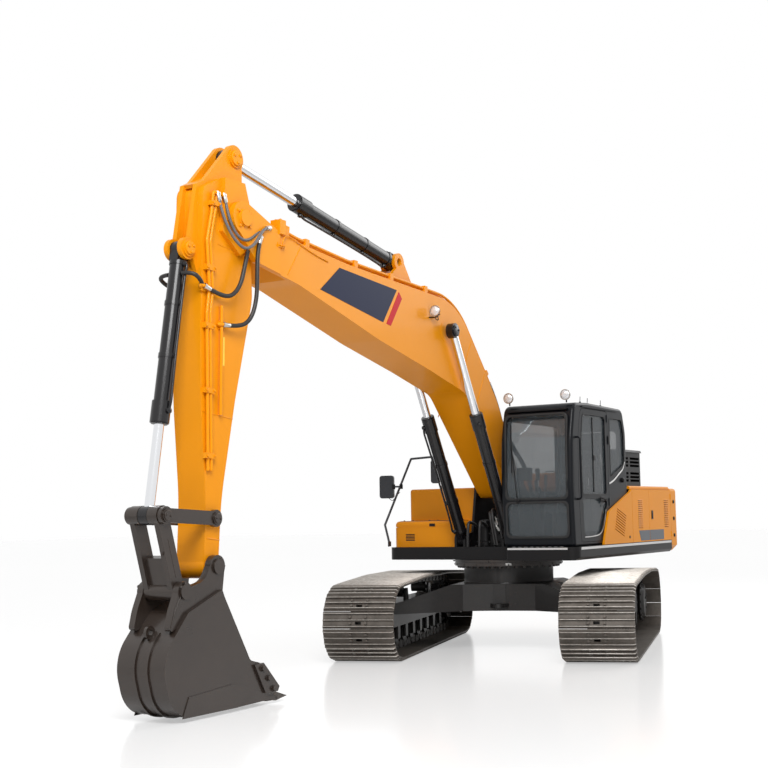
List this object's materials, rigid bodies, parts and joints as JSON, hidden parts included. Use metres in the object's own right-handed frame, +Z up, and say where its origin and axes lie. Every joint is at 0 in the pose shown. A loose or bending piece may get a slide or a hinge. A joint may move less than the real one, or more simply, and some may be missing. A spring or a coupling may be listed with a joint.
{
  "type": "crawler excavator",
  "caption": "Tracked hydraulic excavator with cab, jointed boom, arm and narrow digging bucket; slewing upper structure, opening doors and hood.",
  "frame": {"origin": "ground level under the middle of the machine's outline", "axes": "+X forward along the boom and upper structure, +Y to the machine's left, +Z up"},
  "size_m": [9.1922, 4.4673, 4.9179],
  "materials": {
    "yellow_paint": "gloss",
    "cab_black": "gloss",
    "frame_black": "satin",
    "undercarriage_black": "satin",
    "track_steel": "worn",
    "cylinder_black": "gloss",
    "chrome_rod": "polished",
    "bucket_brown": "satin",
    "glass": "tinted",
    "seat_fabric": "matte",
    "dark_plastic": "matte",
    "engine_iron": "matte"
  },
  "bodies": {
    "boom": {"boom": "yellow_paint", "boom_tip_pin": "frame_black", "boom_pipes": "yellow_paint", "boom_lamp": "frame_black"},
    "arm": {"arm": "yellow_paint", "arm_pipes": "yellow_paint"},
    "bucket": {"bucket": "bucket_brown", "bucket_pin": "bucket_brown", "bucket_link_pin": "bucket_brown"},
    "boom_tube_left": {"boom_cylinder_left_tube": "cylinder_black"},
    "boom_tube_right": {"boom_cylinder_right_tube": "cylinder_black"},
    "boom_rod_left": {"boom_cylinder_left_rod": "chrome_rod"},
    "boom_rod_right": {"boom_cylinder_right_rod": "chrome_rod"},
    "arm_tube": {"arm_cylinder_tube": "cylinder_black"},
    "arm_rod": {"arm_cylinder_rod": "chrome_rod"},
    "bucket_tube": {"bucket_cylinder_tube": "cylinder_black"},
    "bucket_rod": {"bucket_cylinder_rod": "chrome_rod"},
    "idler_links": {"idler_links": "bucket_brown"},
    "bucket_link": {"bucket_link": "bucket_brown"},
    "cab_door": {"cab_door": "cab_black", "door_glass": "glass"},
    "side_door_front": {"side_door_front": "yellow_paint"},
    "side_door_rear": {"side_door_rear": "yellow_paint"},
    "pump_door": {"pump_door": "yellow_paint"},
    "engine_hood": {"engine_hood": "yellow_paint"},
    "undercarriage": {"carbody": "undercarriage_black", "idler_left": "undercarriage_black", "idler_right": "undercarriage_black", "rollers_left": "undercarriage_black", "rollers_right": "undercarriage_black", "slew_ring": "undercarriage_black", "sprocket_left": "undercarriage_black", "sprocket_right": "undercarriage_black", "track_frame_left": "undercarriage_black", "track_frame_right": "undercarriage_black", "track_left": "track_steel", "track_right": "track_steel"},
    "house": {"air_intake": "frame_black", "boom_foot_pin": "frame_black", "boom_tower": "frame_black", "cab": "cab_black", "cab_glass": "glass", "cab_lamps": "frame_black", "consoles": "dark_plastic", "counterweight": "yellow_paint", "deck": "frame_black", "engine": "engine_iron", "exhaust": "frame_black", "fuel_tank": "yellow_paint", "house": "frame_black", "mirrors_right": "frame_black", "seat": "seat_fabric", "side_panel_left": "yellow_paint", "side_panel_right": "yellow_paint", "tool_box": "yellow_paint", "top_cover": "yellow_paint"}
  },
  "joints": [
    {"name": "swing", "type": "hinge", "parent": "undercarriage", "child": "house", "pos_m": [-1.845, 0, 0], "axis": [0, 0, 1], "continuous": true},
    {"name": "boom_lift", "type": "hinge", "parent": "house", "child": "boom", "pos_m": [-1.645, 0, 1.93], "axis": [0, -1, 0], "range_deg": [-67, 39]},
    {"name": "arm_swing", "type": "hinge", "parent": "boom", "child": "arm", "pos_m": [3.572, 0, 4.226], "axis": [0, 1, 0], "range_deg": [-62, 38]},
    {"name": "bucket_curl", "type": "hinge", "parent": "arm", "child": "bucket", "pos_m": [3.905, 0, 1.211], "axis": [0, 1, 0], "range_deg": [-66, 100]},
    {"name": "boom_cylinder_left_pivot", "type": "hinge", "parent": "house", "child": "boom_tube_left", "pos_m": [-1.285, 0.318, 1.302], "axis": [0, -1, 0], "range_deg": [-62.2, 36.4]},
    {"name": "boom_cylinder_left_stroke", "type": "slide", "parent": "boom_tube_left", "child": "boom_rod_left", "axis": [0.4847, 0, 0.8747], "range_m": [-0.782, 0.46]},
    {"name": "boom_cylinder_right_pivot", "type": "hinge", "parent": "house", "child": "boom_tube_right", "pos_m": [-1.285, -0.318, 1.302], "axis": [0, -1, 0], "range_deg": [-62.2, 36.4]},
    {"name": "boom_cylinder_right_stroke", "type": "slide", "parent": "boom_tube_right", "child": "boom_rod_right", "axis": [0.4847, 0, 0.8747], "range_m": [-0.782, 0.46]},
    {"name": "arm_cylinder_pivot", "type": "hinge", "parent": "boom", "child": "arm_tube", "pos_m": [0.745, 0, 4.31], "axis": [0, -1, 0], "range_deg": [-2.9, 2]},
    {"name": "arm_cylinder_stroke", "type": "slide", "parent": "arm_tube", "child": "arm_rod", "axis": [0.9847, 0, 0.1745], "range_m": [-0.575, 0.356]},
    {"name": "bucket_cylinder_pivot", "type": "hinge", "parent": "arm", "child": "bucket_tube", "pos_m": [4.13, 0, 3.88], "axis": [0, -1, 0], "range_deg": [-5.6, 3.8]},
    {"name": "bucket_cylinder_stroke", "type": "slide", "parent": "bucket_tube", "child": "bucket_rod", "axis": [0.1631, 0, -0.9866], "range_m": [-0.438, 0.659]},
    {"name": "idler_link_pivot", "type": "hinge", "parent": "arm", "child": "idler_links", "pos_m": [3.885, 0, 1.61], "axis": [0, -1, 0], "range_deg": [-67.9, 45]},
    {"name": "bucket_link_pivot", "type": "hinge", "parent": "bucket", "child": "bucket_link", "pos_m": [4.31, 0, 1.027], "axis": [0, -1, 0], "range_deg": [-38.9, 58.7]},
    {"name": "cab_door_hinge", "type": "hinge", "parent": "house", "child": "cab_door", "pos_m": [-1.963, 1.3, 2.1], "axis": [0, 0, 1], "range_deg": [0, 100]},
    {"name": "side_door_front_hinge", "type": "hinge", "parent": "house", "child": "side_door_front", "pos_m": [-1.71, 1.331, 1.4], "axis": [0, 0, -1], "range_deg": [0, 80]},
    {"name": "side_door_rear_hinge", "type": "hinge", "parent": "house", "child": "side_door_rear", "pos_m": [-3.99, 1.331, 1.5], "axis": [0, 0, 1], "range_deg": [0, 90]},
    {"name": "pump_door_hinge", "type": "hinge", "parent": "house", "child": "pump_door", "pos_m": [-3.343, -1.331, 1.5], "axis": [0, 0, -1], "range_deg": [0, 90]},
    {"name": "engine_hood_hinge", "type": "hinge", "parent": "house", "child": "engine_hood", "pos_m": [-3.019, 0.025, 1.925], "axis": [0, 1, 0], "range_deg": [0, 60]}
  ],
  "couplings": [
    {"joint": "boom_cylinder_left_pivot", "follows": "boom_lift", "ratio": 0.92044},
    {"joint": "boom_cylinder_left_stroke", "follows": "boom_lift", "m_per_rad": 0.66045},
    {"joint": "boom_cylinder_right_pivot", "follows": "boom_lift", "ratio": 0.92044},
    {"joint": "boom_cylinder_right_stroke", "follows": "boom_lift", "m_per_rad": 0.66045},
    {"joint": "arm_cylinder_pivot", "follows": "arm_swing", "ratio": 0.03845},
    {"joint": "arm_cylinder_stroke", "follows": "arm_swing", "m_per_rad": 0.52219},
    {"joint": "bucket_cylinder_pivot", "follows": "bucket_curl", "ratio": -0.05067},
    {"joint": "bucket_cylinder_stroke", "follows": "bucket_curl", "m_per_rad": 0.37187},
    {"joint": "idler_link_pivot", "follows": "bucket_curl", "ratio": -0.67424},
    {"joint": "bucket_link_pivot", "follows": "bucket_curl", "ratio": 0.58189}
  ]
}
